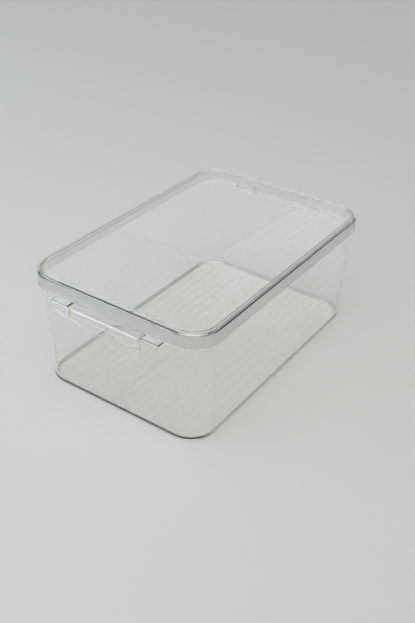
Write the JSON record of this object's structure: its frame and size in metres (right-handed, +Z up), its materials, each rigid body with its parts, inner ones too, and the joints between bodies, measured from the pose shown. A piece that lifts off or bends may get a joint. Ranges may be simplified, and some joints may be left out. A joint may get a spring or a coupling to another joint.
{
  "type": "fridge organizer",
  "caption": "Clear stackable fridge storage box with a ribbed floor, a grip lip on each short end and a lift-off lid with a matching lift tab over each lip.",
  "frame": {"origin": "centre of the footprint, on the surface that the bin stands on", "axes": "+Z up, +Y along the long side, so that the two short ends with their lips and tabs face -Y and +Y"},
  "size_m": [0.2, 0.3158, 0.122],
  "materials": {
    "bin_clear_plastic": "clear, polished moulding",
    "lid_clear_plastic": "clear, polished moulding"
  },
  "bodies": {
    "bin": {"bin": "bin_clear_plastic"},
    "lid": {"lid": "lid_clear_plastic"}
  },
  "joints": [
    {"name": "lid_lift", "type": "slide", "parent": "bin", "child": "lid", "axis": [0, 0, 1], "range_m": [0, 0.14]}
  ]
}
